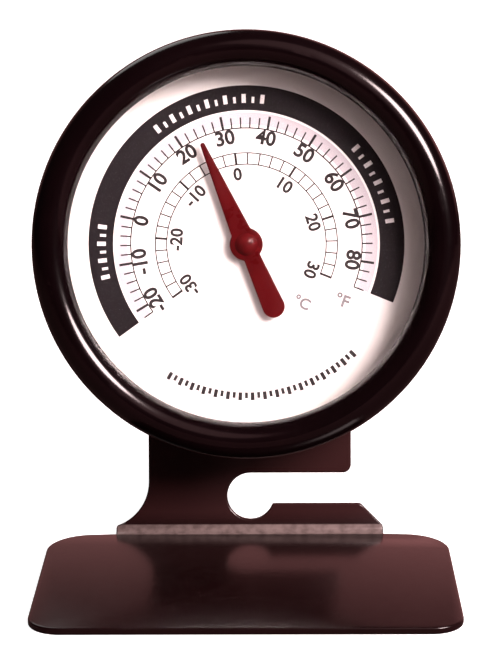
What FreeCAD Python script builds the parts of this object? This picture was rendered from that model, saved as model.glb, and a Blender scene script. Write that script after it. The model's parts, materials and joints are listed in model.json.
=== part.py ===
import FreeCAD, Part
import math
import os
from types import SimpleNamespace

import Sketcher

# A dial thermometer for a cold store, fridge or oven shelf.  A drawn steel case holds a printed
# dial, a bimetal coil that turns a pointer, and a glass lens under a rolled bezel.  The case is
# riveted to the upright of a bent sheet stand, whose slot hooks over a shelf wire and whose foot
# stands on a shelf.
#
# Frame: +X right, -Y forward, +Z up, millimetres.  The origin is the middle of the foot's
# underside.  The stand's upright leans back, and the case sits square on it: the pieces of the
# case are drawn in the case's own frame, with x to the right, y up the upright and z along the
# dial's axis towards the reader, from z = 0 on the front face of the upright.

# ---------------------------------------------------------------------------- driving sizes

SIZES = {
    # stand: one sheet, bent once
    "lean": 10.0,                  # degrees that the upright leans back from vertical
    "stand_sheet": 1.0,            # sheet thickness
    "bend_radius": 1.0,            # inside of the bend
    "foot_width": 57.8,
    "foot_depth": 37.7,            # front edge to where the upright's front face meets the shelf
    "foot_front_corner": 4.5,
    "foot_rear_corner": 6.5,
    "neck_width": 29.6,
    "neck_shift": 0.25,            # the neck's middle lies this far right of the case
    "neck_above_axis": 9.0,        # how far the upright reaches above the dial's axis
    "neck_top_corner": 8.0,
    "flare_radius": 7.0,           # hollow flare on the closed side of the neck
    "flare_height": 8.5,           # where it starts, along the upright
    "finger_extra": 1.35,          # how far the finger below the slot passes the neck's side
    "finger_slope": 45.0,          # degrees of the finger's sloping end
    "finger_corner": 0.8,
    "jaw_corner": 1.2,
    "seat_x": 0.35,                # middle of the round wire seat
    "seat_height": 6.3,            # along the upright
    "seat_radius": 3.4,
    "slot_height": 4.5,            # wire slot, in line with the top of the seat
    "case_rise": 13.5,             # lowest point of the bezel, along the upright
    # rivets that join stand, case and movement bridge
    "rivet_offset": 2.7,           # rivet's axis outside the bridge's leg
    "rivet_radius": 1.2,
    "rivet_clearance": 0.05,
    "rivet_head_radius": 2.3,
    "rivet_head_height": 0.9,
    "rivet_tail_radius": 2.0,
    "rivet_tail_height": 0.6,
    # case: a stepped can, open to the front
    "case_wall": 0.5,
    "case_corner": 1.6,
    "flange_width": 2.0,           # beyond the wide front part
    "dial_ledge": 2.8,             # step in to the narrow rear part
    "dial_room": 0.65,             # shaft clip to dial
    "vent_radius": 1.5,
    "vent_inset": 6.4,             # vents' circle inside the narrow part
    "vent_count": 8,
    # dial, spacer, gasket, lens and bezel, stacked on the shoulder and the flange
    "dial_thickness": 0.5,
    "dial_clearance": 0.2,         # dial and spacer inside the case wall
    "dial_hole": 1.3,
    "spacer_height": 3.4,
    "spacer_setback": 0.5,         # how far it stands back behind the bezel's opening
    "spacer_chamfer": 0.5,
    "spacer_gap": 0.1,             # spacer to lens
    "gasket_thickness": 0.5,
    "gasket_width": 2.0,
    "lens_thickness": 1.8,
    "lens_clearance": 0.6,         # inside the bezel
    "lens_chamfer": 0.3,
    "bezel_radius": 30.0,          # outside
    "bezel_width": 5.1,            # of the half-round roll
    "bezel_clearance": 0.3,        # around the flange
    "bezel_sheet": 0.5,
    "bezel_curl": 1.6,             # how far the crimped edge reaches in behind the flange
    "bezel_heel": 0.35,            # outside rounding of the crimped edge
    # movement bridge: a strap bent into a hat over the coil
    "bridge_sheet": 0.6,
    "bridge_width": 7.0,
    "bridge_coil_room": 0.7,       # coil to leg
    "bridge_collet_room": 0.5,     # collet to the strap above it
    "bridge_edge": 3.0,            # rivet's axis to the end of the foot
    "bridge_bend": 0.9,            # outside radius of its bends
    # bushes
    "rear_bush_radius": 1.6,
    "rear_bush_flange": 2.3,
    "rear_bush_flange_thickness": 0.6,
    "front_bush_radius": 1.4,
    "front_bush_flange": 2.0,
    "front_bush_flange_thickness": 0.4,
    # shaft and what turns with it
    "shaft_radius": 0.6,
    "pivot_radius": 0.4,
    "running_clearance": 0.05,
    "end_play": 0.15,
    "pivot_end": 0.15,             # pivot's tip above the upright
    "shaft_into_bush": 0.2,        # how far the shaft passes the pointer's face
    "collet_radius": 1.5,
    "collet_gap": 0.25,            # shaft's shoulder to collet
    "collet_margin": 0.1,          # collet beyond the coil, each side
    "washer_radius": 1.6,
    "washer_thickness": 0.2,
    "clip_radius": 1.5,
    "clip_thickness": 0.3,
    "clip_mouth": 0.7,
    "clip_groove": 0.15,           # depth of the clip's groove
    # coil and its anchor
    "coil_strip": 0.3,
    "coil_height": 2.4,
    "coil_clearance": 0.05,        # first turn to the collet
    "coil_outside": 6.0,
    "coil_turns": 5,
    "anchor_room": 2.2,            # from the coil's outside to where its end is held
    "anchor_sheet": 0.5,
    "anchor_width": 3.0,
    "anchor_foot": 3.4,
    "anchor_margin": 0.2,          # anchor above the coil
    "anchor_clearance": 0.05,      # room for the coil's curve at the anchor and the rivet
    "coil_rivet_radius": 0.45,
    "coil_rivet_head": 0.85,
    "coil_rivet_head_height": 0.35,
    # pointer
    "pointer_rest": 113.5,         # degrees from the dial's right, anticlockwise
    "pointer_gap": 0.9,            # over the dial
    "pointer_thickness": 0.4,
    "pointer_length": 15.6,
    "pointer_root_width": 3.2,
    "pointer_tip_width": 0.7,
    "pointer_disc": 2.35,
    "tail_length": 11.2,
    "tail_root_width": 2.2,
    "tail_end_radius": 1.6,
    "pointer_bush_collar": 1.5,
    "pointer_bush_neck": 0.95,
    "pointer_bush_collar_height": 0.5,
    "pointer_bush_head": 1.6,
    "pointer_bush_crown": 0.7,
}


# ------------------------------------------------------------- sizes that carry their formula

class Size:
    """A number together with the expression that gives it from the sheet's cells."""

    def __init__(self, value, text=None):
        self.value = float(value)
        self.text = text if text is not None else repr(float(value))
        self.bound = text is not None

    def _joined(self, other, sign, value):
        joined = Size(value, f"({self.text} {sign} {other.text})")
        joined.bound = self.bound or other.bound
        return joined

    def __add__(self, other):
        other = as_size(other)
        return self._joined(other, "+", self.value + other.value)

    def __sub__(self, other):
        other = as_size(other)
        return self._joined(other, "-", self.value - other.value)

    def __mul__(self, other):
        other = as_size(other)
        return self._joined(other, "*", self.value * other.value)

    def __truediv__(self, other):
        other = as_size(other)
        return self._joined(other, "/", self.value / other.value)

    def __neg__(self):
        return as_size(0) - self


def as_size(number):
    return number if isinstance(number, Size) else Size(number)


def sine(angle):
    return Size(math.sin(math.radians(angle.value)), f"sin({angle.text})")


def cosine(angle):
    return Size(math.cos(math.radians(angle.value)), f"cos({angle.text})")


def tangent(angle):
    return Size(math.tan(math.radians(angle.value)), f"tan({angle.text})")


def root(number):
    return Size(math.sqrt(number.value), f"sqrt({number.text})")


def least(first, second):
    return Size(min(first.value, second.value), f"min({first.text}; {second.text})")


def bind(item, prop, size):
    """Ties one property of an object to the sheet."""
    if size.bound:
        item.setExpression(prop, size.text)


doc = FreeCAD.newDocument("dial_thermometer")
sheet = doc.addObject("Spreadsheet::Sheet", "sizes")
for row, (name, number) in enumerate(SIZES.items(), start=1):
    sheet.set(f"A{row}", name)
    sheet.set(f"B{row}", str(number))
    sheet.setAlias(f"B{row}", name)
doc.recompute()
dim = SimpleNamespace(**{name: Size(number, f"sizes.{name}") for name, number in SIZES.items()})


# ------------------------------------------------- places that several pieces have in common

# Radii, from the bezel inwards.
bezel_inside = dim.bezel_radius - dim.bezel_sheet
bezel_opening = dim.bezel_radius - dim.bezel_width
flange_radius = bezel_inside - dim.bezel_clearance
lens_radius = bezel_inside - dim.lens_clearance
case_radius = flange_radius - dim.flange_width
case_step_radius = case_radius - dim.dial_ledge
dial_radius = case_radius - dim.case_wall - dim.dial_clearance
coil_end_radius = dim.coil_outside + dim.anchor_room
anchor_face = coil_end_radius + dim.coil_strip / 2 + dim.anchor_clearance
leg_inside = dim.coil_outside + dim.bridge_coil_room
leg_outside = leg_inside + dim.bridge_sheet
rivet_x = leg_outside + dim.rivet_offset
rivet_hole = dim.rivet_radius + dim.rivet_clearance
groove_radius = dim.shaft_radius - dim.clip_groove

# Heights above the upright's front face, along the dial's axis.
rear_bush_top = dim.case_wall + dim.rear_bush_flange_thickness
shaft_shoulder = rear_bush_top + dim.end_play
collet_base = shaft_shoulder + dim.collet_gap
coil_base = collet_base + dim.collet_margin
coil_middle = coil_base + dim.coil_height / 2
collet_top = coil_base + dim.coil_height + dim.collet_margin
bridge_underside = collet_top + dim.bridge_collet_room
bridge_top = bridge_underside + dim.bridge_sheet
front_bush_top = bridge_top + dim.front_bush_flange_thickness
washer_base = front_bush_top + dim.end_play
clip_base = washer_base + dim.washer_thickness
clip_top = clip_base + dim.clip_thickness
dial_seat = clip_top + dim.dial_room
dial_front = dial_seat + dim.dial_thickness
pointer_base = dial_front + dim.pointer_gap
pointer_top = pointer_base + dim.pointer_thickness
shaft_end = pointer_top + dim.shaft_into_bush
lens_back = dial_front + dim.spacer_height + dim.spacer_gap
lens_front = lens_back + dim.lens_thickness
flange_front = lens_back - dim.gasket_thickness
flange_back = flange_front - dim.case_wall

# The stand: where its faces meet, and how far up the upright the dial's axis is.
fold_y = dim.foot_depth / 2
axis_height = dim.case_rise + dim.bezel_radius


# ------------------------------------------------------------------------- drawing helpers

def new_body(name):
    body = doc.addObject("PartDesign::Body", name)
    body.Label = name
    return body


def new_sketch(body, name, role, height=None, spin=None):
    """A sketch on one of the body's own planes, raised along its normal or turned about it."""
    sketch = body.newObject("Sketcher::SketchObject", name)
    plane = [item for item in body.Origin.OriginFeatures if item.Role == role][0]
    sketch.AttachmentSupport = (plane, [""])
    sketch.MapMode = "FlatFace"
    angle = spin.value if spin else 0.0
    rise = height.value if height else 0.0
    turn = FreeCAD.Rotation(FreeCAD.Vector(0, 0, 1), angle)
    sketch.AttachmentOffset = FreeCAD.Placement(FreeCAD.Vector(0, 0, rise), turn)
    if height:
        bind(sketch, "AttachmentOffset.Base.z", height)
    if spin:
        bind(sketch, "AttachmentOffset.Rotation.Angle", spin)
    return sketch


def constrain(sketch, name, size, kind, *where):
    """Adds one dimension to a sketch and ties it to the sheet."""
    index = sketch.addConstraint(Sketcher.Constraint(kind, *where, size.value))
    sketch.renameConstraint(index, name)
    bind(sketch, f"Constraints.{name}", size)


def arc_centre(start, end, radius, turn, far):
    """Centre of the arc from start to end: turn is 1 anticlockwise, -1 clockwise."""
    middle = (start + end) * 0.5
    run = end - start
    side = FreeCAD.Vector(-run.y, run.x, 0).normalize()
    rise = math.sqrt(max(radius ** 2 - (run.Length / 2) ** 2, 0.0))
    return middle + side * (rise * turn * (-1 if far else 1))


def arc(radius, turn, far=False):
    return SimpleNamespace(radius=radius, turn=turn, far=far)


def draw_outline(sketch, corners):
    """A closed outline.  Each corner is (x, y) or (x, y, arc to the next corner)."""
    corners = [(as_size(corner[0]), as_size(corner[1]), *corner[2:]) for corner in corners]
    first = sketch.GeometryCount
    ends = []
    for index, corner in enumerate(corners):
        after = corners[(index + 1) % len(corners)]
        start = FreeCAD.Vector(corner[0].value, corner[1].value, 0)
        end = FreeCAD.Vector(after[0].value, after[1].value, 0)
        if len(corner) == 2:
            sketch.addGeometry(Part.LineSegment(start, end), False)
            ends.append((1, 2))
            continue
        bend = corner[2]
        centre = arc_centre(start, end, bend.radius.value, bend.turn, bend.far)
        circle = Part.Circle(centre, FreeCAD.Vector(0, 0, 1), bend.radius.value)
        low, high = (start, end) if bend.turn > 0 else (end, start)
        from_angle = math.atan2(low.y - centre.y, low.x - centre.x)
        to_angle = math.atan2(high.y - centre.y, high.x - centre.x)
        sketch.addGeometry(Part.ArcOfCircle(circle, from_angle, to_angle), False)
        ends.append((1, 2) if bend.turn > 0 else (2, 1))
    for index, corner in enumerate(corners):
        here = first + index
        after = (index + 1) % len(corners)
        sketch.addConstraint(Sketcher.Constraint(
            "Coincident", here, ends[index][1], first + after, ends[after][0]))
        constrain(sketch, f"x{here}", corner[0], "DistanceX", -1, 1, here, ends[index][0])
        constrain(sketch, f"y{here}", corner[1], "DistanceY", -1, 1, here, ends[index][0])
        if len(corner) == 3:
            constrain(sketch, f"r{here}", corner[2].radius, "Radius", here)


def draw_circle(sketch, x, y, radius):
    x, y = as_size(x), as_size(y)
    circle = Part.Circle(FreeCAD.Vector(x.value, y.value, 0), FreeCAD.Vector(0, 0, 1), radius.value)
    index = sketch.addGeometry(circle, False)
    constrain(sketch, f"x{index}", x, "DistanceX", -1, 1, index, 3)
    constrain(sketch, f"y{index}", y, "DistanceY", -1, 1, index, 3)
    constrain(sketch, f"r{index}", radius, "Radius", index)


def rectangle(left, bottom, right, top):
    return [(left, bottom), (right, bottom), (right, top), (left, top)]


def pad(body, name, sketch, length, reverse=False, both_ways=False):
    feature = body.newObject("PartDesign::Pad", name)
    feature.Profile = sketch
    feature.Length = length.value
    bind(feature, "Length", length)
    feature.Reversed = reverse
    feature.Midplane = both_ways
    doc.recompute()
    return feature


def pocket(body, name, sketch):
    """Cuts a sketch's outline right through the body, and makes sure that it cut."""
    doc.recompute()
    before = body.Shape.Volume
    feature = body.newObject("PartDesign::Pocket", name)
    feature.Profile = sketch
    feature.Type = "ThroughAll"
    feature.Midplane = True
    doc.recompute()
    if body.Shape.Volume > before - 1e-6:
        raise RuntimeError(f"{name} cuts nothing")
    return feature


def turned(name, corners):
    """A body turned about the dial's axis: corners are (radius, height along the axis)."""
    body = new_body(name)
    sketch = new_sketch(body, name + "_profile", "XZ_Plane")
    draw_outline(sketch, corners)
    feature = body.newObject("PartDesign::Revolution", name + "_turning")
    feature.Profile = sketch
    feature.ReferenceAxis = (sketch, ["V_Axis"])
    feature.Angle = 360
    doc.recompute()
    return body


def round_edges(body, name, radius, chosen):
    """Rounds the edges of the body's tip whose middles the test picks."""
    tip = body.Tip
    picked = [f"Edge{number}" for number, edge in enumerate(tip.Shape.Edges, start=1)
              if chosen(edge, edge.valueAt((edge.FirstParameter + edge.LastParameter) / 2))]
    if not picked:
        raise RuntimeError(f"{name} finds no edge")
    feature = body.newObject("PartDesign::Fillet", name)
    feature.Base = (tip, picked)
    feature.Radius = radius.value
    bind(feature, "Radius", radius)
    doc.recompute()
    return feature


def place_on_case(body, x=0, up=0):
    """Puts a body drawn in the case's frame where the case is, x right and up along it."""
    x, up = as_size(x), as_size(up)
    base_y = fold_y + (axis_height + up) * sine(dim.lean)
    base_z = (axis_height + up) * cosine(dim.lean)
    tilt = Size(90) - dim.lean
    body.Placement = FreeCAD.Placement(
        FreeCAD.Vector(x.value, base_y.value, base_z.value),
        FreeCAD.Rotation(FreeCAD.Vector(1, 0, 0), tilt.value))
    bind(body, "Placement.Base.x", x)
    bind(body, "Placement.Base.y", base_y)
    bind(body, "Placement.Base.z", base_z)
    bind(body, "Placement.Rotation.Angle", tilt)
    return body


# --------------------------------------------------------------------------------- the stand

def stand_bracket():
    """One sheet bent once: foot, bend and upright, with the wire slot cut in the upright."""
    body = new_body("stand_bracket")
    turn = Size(90) - dim.lean
    run_out = dim.bend_radius * tangent(turn / 2)
    foot_end = fold_y + dim.stand_sheet * tangent(dim.lean) - run_out
    upright_start = dim.stand_sheet / cosine(dim.lean) + run_out
    neck_left = dim.neck_shift - dim.neck_width / 2
    neck_right = dim.neck_shift + dim.neck_width / 2
    finger_reach = neck_right + dim.finger_extra
    slot_top = dim.seat_height + dim.seat_radius
    slot_bottom = slot_top - dim.slot_height
    flare_drop = dim.flare_height - upright_start
    flare_run = dim.flare_radius - root(dim.flare_radius * dim.flare_radius - flare_drop * flare_drop)
    bend_left = neck_left - flare_run
    bend_right = finger_reach + (slot_bottom - upright_start) * tangent(dim.finger_slope)

    foot = new_sketch(body, "foot_outline", "XY_Plane")
    side = dim.foot_width / 2
    front = -(dim.foot_depth / 2)
    front_turn = arc(dim.foot_front_corner, 1)
    rear_corner = least(dim.foot_rear_corner, side - bend_right)
    rear_turn = arc(rear_corner, 1)
    draw_outline(foot, [
        (dim.foot_front_corner - side, front),
        (side - dim.foot_front_corner, front, front_turn),
        (side, front + dim.foot_front_corner),
        (side, foot_end - rear_corner, rear_turn),
        (side - rear_corner, foot_end),
        (rear_corner - side, foot_end, rear_turn),
        (-side, foot_end - rear_corner),
        (-side, front + dim.foot_front_corner, front_turn),
    ])
    pad(body, "foot", foot, dim.stand_sheet)

    bend = new_sketch(body, "bend_section", "XZ_Plane", height=-foot_end)
    draw_outline(bend, rectangle(bend_left, 0, bend_right, dim.stand_sheet))
    axis_rise = dim.stand_sheet + dim.bend_radius
    axis = sketch_axis(bend, bend_left, bend_right, axis_rise)
    rolled = body.newObject("PartDesign::Revolution", "bend")
    rolled.Profile = bend
    rolled.ReferenceAxis = (bend, [axis])
    rolled.Angle = turn.value
    bind(rolled, "Angle", turn)
    before = body.Shape.Volume
    doc.recompute()
    if body.Shape.BoundBox.YMax < (foot_end + dim.bend_radius / 2).value:
        rolled.Reversed = True
        doc.recompute()
    if body.Shape.Volume <= before:
        raise RuntimeError("the bend adds nothing")

    upright = new_sketch(body, "upright_outline", "XZ_Plane")
    upright.AttachmentOffset = FreeCAD.Placement(
        FreeCAD.Vector(0, 0, -fold_y.value),
        FreeCAD.Rotation(FreeCAD.Vector(-1, 0, 0), dim.lean.value))
    bind(upright, "AttachmentOffset.Base.z", -fold_y)
    bind(upright, "AttachmentOffset.Rotation.Angle", dim.lean)
    neck_top = axis_height + dim.neck_above_axis
    seat_drop = dim.seat_height - slot_bottom
    seat_mouth = root(dim.seat_radius * dim.seat_radius - seat_drop * seat_drop)
    top_turn = arc(dim.neck_top_corner, 1)
    draw_outline(upright, [
        (bend_left, upright_start),
        (bend_right, upright_start),
        (finger_reach, slot_bottom),
        (dim.seat_x + seat_mouth, slot_bottom, arc(dim.seat_radius, -1, far=True)),
        (dim.seat_x, slot_top),
        (neck_right - dim.jaw_corner, slot_top, arc(dim.jaw_corner, 1)),
        (neck_right, slot_top + dim.jaw_corner),
        (neck_right, neck_top - dim.neck_top_corner, top_turn),
        (neck_right - dim.neck_top_corner, neck_top),
        (neck_left + dim.neck_top_corner, neck_top, top_turn),
        (neck_left, neck_top - dim.neck_top_corner),
        (neck_left, dim.flare_height, arc(dim.flare_radius, -1)),
    ])
    for side_sign in (-1, 1):
        draw_circle(upright, rivet_x * side_sign, axis_height, rivet_hole)
    pad(body, "upright", upright, dim.stand_sheet, reverse=True)

    tip_z = (slot_bottom * cosine(dim.lean)).value
    round_edges(
        body, "finger_tip", dim.finger_corner,
        lambda edge, middle: abs(edge.Length - dim.stand_sheet.value) < 1e-3
        and abs(middle.x - finger_reach.value) < 1e-3
        and abs(middle.z - tip_z) < dim.stand_sheet.value)
    return body


def sketch_axis(sketch, left, right, rise):
    """A construction line across a sketch, to turn its outline about."""
    line = Part.LineSegment(FreeCAD.Vector(left.value, rise.value, 0),
                            FreeCAD.Vector(right.value, rise.value, 0))
    index = sketch.addGeometry(line, True)
    for end, x in ((1, left), (2, right)):
        constrain(sketch, f"axis_x{end}", x, "DistanceX", -1, 1, index, end)
        constrain(sketch, f"axis_y{end}", rise, "DistanceY", -1, 1, index, end)
    return "Axis0"


def stand_rivets():
    """Two snap-head rivets through upright, case and bridge, with flat clinched tails."""
    tail_base = dim.case_wall + dim.bridge_sheet
    head = dim.rivet_head_radius
    crown = dim.rivet_head_height
    crown_radius = (head * head + crown * crown) / (crown * 2)
    rivet = turned("stand_rivet", [
        (0, -dim.stand_sheet - crown, arc(crown_radius, 1)),
        (head, -dim.stand_sheet),
        (dim.rivet_radius, -dim.stand_sheet),
        (dim.rivet_radius, tail_base),
        (dim.rivet_tail_radius, tail_base),
        (dim.rivet_tail_radius, tail_base + dim.rivet_tail_height),
        (0, tail_base + dim.rivet_tail_height),
    ])
    place_on_case(rivet, x=rivet_x)
    twin = doc.addObject("Part::Mirroring", "stand_rivet_twin")
    twin.Source = rivet
    twin.Base = FreeCAD.Vector(0, 0, 0)
    twin.Normal = FreeCAD.Vector(1, 0, 0)
    pair = doc.addObject("Part::Compound", "stand_rivets")
    pair.Label = "stand_rivets"
    pair.Links = [rivet, twin]
    doc.recompute()
    return pair


# ---------------------------------------------------------------------------------- the case

def case_cup():
    """A stepped can drawn from sheet, with a flange, rivet and bush holes and rear vents."""
    wall = dim.case_wall
    step, wide, corner = case_step_radius, case_radius, dim.case_corner
    under = dial_seat - wall
    body = turned("case_cup", [
        (dim.rear_bush_radius, 0),
        (step - corner, 0, arc(corner, 1)),
        (step, corner),
        (step, under),
        (wide - corner / 2, under, arc(corner / 2, 1)),
        (wide, under + corner / 2),
        (wide, flange_back),
        (flange_radius, flange_back),
        (flange_radius, flange_front),
        (wide - wall, flange_front),
        (wide - wall, dial_seat),
        (step - wall, dial_seat),
        (step - wall, corner, arc(corner - wall, -1)),
        (step - corner, wall),
        (dim.rear_bush_radius, wall),
    ])
    holes = new_sketch(body, "rivet_holes", "XY_Plane")
    for side_sign in (-1, 1):
        draw_circle(holes, rivet_x * side_sign, 0, rivet_hole)
    pocket(body, "rivet_hole_cut", holes)
    vent = new_sketch(body, "vent_hole", "XY_Plane", spin=Size(180) / dim.vent_count)
    draw_circle(vent, case_step_radius - dim.vent_inset, 0, dim.vent_radius)
    cut = pocket(body, "vent_cut", vent)
    vents = body.newObject("PartDesign::PolarPattern", "vents")
    vents.Originals = [cut]
    vents.Axis = (vent, ["N_Axis"])
    vents.Angle = 360
    vents.Occurrences = int(dim.vent_count.value)
    bind(vents, "Occurrences", dim.vent_count)
    body.Tip = vents
    doc.recompute()
    return place_on_case(body)


def bezel_ring():
    """A half-round rolled ring: its inner edge bears on the lens, its outer edge is crimped."""
    roll = dim.bezel_width / 2
    sheet_wall = dim.bezel_sheet
    crimp_back = flange_back - sheet_wall
    body = turned("bezel_ring", [
        (bezel_opening, lens_front, arc(roll, -1)),
        (bezel_opening + roll, lens_front + roll, arc(roll, -1)),
        (dim.bezel_radius, lens_front),
        (dim.bezel_radius, crimp_back + dim.bezel_heel, arc(dim.bezel_heel, -1)),
        (dim.bezel_radius - dim.bezel_heel, crimp_back),
        (dim.bezel_radius - dim.bezel_curl, crimp_back),
        (dim.bezel_radius - dim.bezel_curl, flange_back),
        (bezel_inside, flange_back),
        (bezel_inside, lens_front, arc(roll - sheet_wall, 1)),
        (bezel_opening + roll, lens_front + roll - sheet_wall, arc(roll - sheet_wall, 1)),
        (bezel_opening + sheet_wall, lens_front),
    ])
    return place_on_case(body)


def lens():
    """The flat glass, with its edges ground off."""
    return place_on_case(turned("lens", [
        (0, lens_back),
        (lens_radius - dim.lens_chamfer, lens_back),
        (lens_radius, lens_back + dim.lens_chamfer),
        (lens_radius, lens_front - dim.lens_chamfer),
        (lens_radius - dim.lens_chamfer, lens_front),
        (0, lens_front),
    ]))


def lens_gasket():
    """A flat rubber ring between the flange and the lens."""
    inside = lens_radius - dim.gasket_width
    return place_on_case(turned("lens_gasket", rectangle(
        inside, flange_front, lens_radius, lens_back)))


def spacer_ring():
    """The black ring that holds the dial down on the shoulder, just out of sight."""
    inside = bezel_opening + dim.spacer_setback
    top = dial_front + dim.spacer_height
    return place_on_case(turned("spacer_ring", [
        (inside, dial_front),
        (dial_radius, dial_front),
        (dial_radius, top),
        (inside + dim.spacer_chamfer, top),
        (inside, top - dim.spacer_chamfer),
    ]))


def dial_plate():
    """The printed sheet dial, with a hole for the shaft."""
    body = new_body("dial_plate")
    outline = new_sketch(body, "dial_outline", "XY_Plane", height=dial_seat)
    draw_circle(outline, 0, 0, dial_radius)
    draw_circle(outline, 0, 0, dim.dial_hole)
    pad(body, "dial_sheet", outline, dim.dial_thickness)
    return place_on_case(body)


# ------------------------------------------------------------------------------- the movement

def movement_bridge():
    """A strap bent into a hat over the coil: feet under the stand's rivets, a bush in its top."""
    body = new_body("movement_bridge")
    wall = dim.bridge_sheet
    foot_top = dim.case_wall + wall
    end = rivet_x + dim.bridge_edge
    bend = dim.bridge_bend
    section = new_sketch(body, "bridge_section", "XZ_Plane")
    draw_outline(section, [
        (leg_inside, dim.case_wall),
        (end, dim.case_wall),
        (end, foot_top),
        (leg_outside, foot_top),
        (leg_outside, bridge_top - bend, arc(bend, 1)),
        (leg_outside - bend, bridge_top),
        (bend - leg_outside, bridge_top, arc(bend, 1)),
        (-leg_outside, bridge_top - bend),
        (-leg_outside, foot_top),
        (-end, foot_top),
        (-end, dim.case_wall),
        (-leg_inside, dim.case_wall),
        (-leg_inside, bridge_top - bend, arc(bend - wall, -1)),
        (bend - leg_outside, bridge_underside),
        (leg_outside - bend, bridge_underside, arc(bend - wall, -1)),
        (leg_inside, bridge_top - bend),
    ])
    pad(body, "bridge_strap", section, dim.bridge_width, both_ways=True)
    holes = new_sketch(body, "bridge_holes", "XY_Plane")
    draw_circle(holes, 0, 0, dim.front_bush_radius)
    for side_sign in (-1, 1):
        draw_circle(holes, rivet_x * side_sign, 0, rivet_hole)
    pocket(body, "bridge_hole_cut", holes)
    return place_on_case(body)


def rear_bush():
    """The brass bush in the case's back that carries the shaft's pivot."""
    bore = dim.pivot_radius + dim.running_clearance
    return place_on_case(turned("rear_bush", [
        (bore, 0),
        (dim.rear_bush_radius, 0),
        (dim.rear_bush_radius, dim.case_wall),
        (dim.rear_bush_flange, dim.case_wall),
        (dim.rear_bush_flange, rear_bush_top),
        (bore, rear_bush_top),
    ]))


def front_bush():
    """The brass bush in the bridge that carries the shaft behind the dial."""
    bore = dim.shaft_radius + dim.running_clearance
    return place_on_case(turned("front_bush", [
        (bore, bridge_underside),
        (dim.front_bush_radius, bridge_underside),
        (dim.front_bush_radius, bridge_top),
        (dim.front_bush_flange, bridge_top),
        (dim.front_bush_flange, front_bush_top),
        (bore, front_bush_top),
    ]))


def pointer_shaft():
    """A turned steel shaft with a pivot at the rear and a groove for its clip."""
    return place_on_case(turned("pointer_shaft", [
        (0, dim.pivot_end),
        (dim.pivot_radius, dim.pivot_end),
        (dim.pivot_radius, shaft_shoulder),
        (dim.shaft_radius, shaft_shoulder),
        (dim.shaft_radius, clip_base),
        (groove_radius, clip_base),
        (groove_radius, clip_top),
        (dim.shaft_radius, clip_top),
        (dim.shaft_radius, shaft_end),
        (0, shaft_end),
    ]))


def coil_collet():
    """The brass collet pressed on the shaft, to which the coil's inner end is welded."""
    return place_on_case(turned("coil_collet", rectangle(
        dim.shaft_radius, collet_base, dim.collet_radius, collet_top)))


def shaft_washer():
    """The thrust washer on the front bush."""
    return place_on_case(turned("shaft_washer", rectangle(
        dim.shaft_radius, washer_base, dim.washer_radius, clip_base)))


def shaft_clip():
    """The open clip that snaps into the shaft's groove."""
    body = new_body("shaft_clip")
    ring = new_sketch(body, "clip_ring", "XY_Plane", height=clip_base)
    draw_circle(ring, 0, 0, dim.clip_radius)
    draw_circle(ring, 0, 0, groove_radius)
    pad(body, "clip_blank", ring, dim.clip_thickness)
    mouth = new_sketch(body, "clip_mouth", "XY_Plane")
    half = dim.clip_mouth / 2
    draw_outline(mouth, rectangle(-half, 0, half, dim.clip_radius * 2))
    pocket(body, "clip_mouth_cut", mouth)
    return place_on_case(body)


def coil_anchor():
    """An angle spot-welded to the case's back, with a hole for the coil's rivet."""
    body = new_body("coil_anchor")
    base = dim.case_wall
    top = coil_base + dim.coil_height + dim.anchor_margin
    section = new_sketch(body, "anchor_section", "YZ_Plane")
    draw_outline(section, [
        (anchor_face, base),
        (anchor_face + dim.anchor_foot, base),
        (anchor_face + dim.anchor_foot, base + dim.anchor_sheet),
        (anchor_face + dim.anchor_sheet, base + dim.anchor_sheet),
        (anchor_face + dim.anchor_sheet, top),
        (anchor_face, top),
    ])
    pad(body, "anchor_angle", section, dim.anchor_width, both_ways=True)
    hole = new_sketch(body, "anchor_hole", "XZ_Plane")
    draw_circle(hole, 0, coil_middle, dim.coil_rivet_radius + dim.rivet_clearance)
    pocket(body, "anchor_hole_cut", hole)
    return place_on_case(body)


def coil_rivet():
    """The small rivet through the coil's outer end and the anchor."""
    body = new_body("coil_rivet")
    inner_face = coil_end_radius - dim.coil_strip / 2 - dim.anchor_clearance
    outer_face = anchor_face + dim.anchor_sheet
    head, shank, thick = dim.coil_rivet_head, dim.coil_rivet_radius, dim.coil_rivet_head_height
    half = new_sketch(body, "coil_rivet_profile", "YZ_Plane")
    draw_outline(half, [
        (inner_face - thick, coil_middle),
        (inner_face - thick, coil_middle + head),
        (inner_face, coil_middle + head),
        (inner_face, coil_middle + shank),
        (outer_face, coil_middle + shank),
        (outer_face, coil_middle + head),
        (outer_face + thick, coil_middle + head),
        (outer_face + thick, coil_middle),
    ])
    axis = sketch_axis(half, inner_face, outer_face, coil_middle)
    feature = body.newObject("PartDesign::Revolution", "coil_rivet_turning")
    feature.Profile = half
    feature.ReferenceAxis = (half, [axis])
    feature.Angle = 360
    doc.recompute()
    return place_on_case(body)


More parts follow.
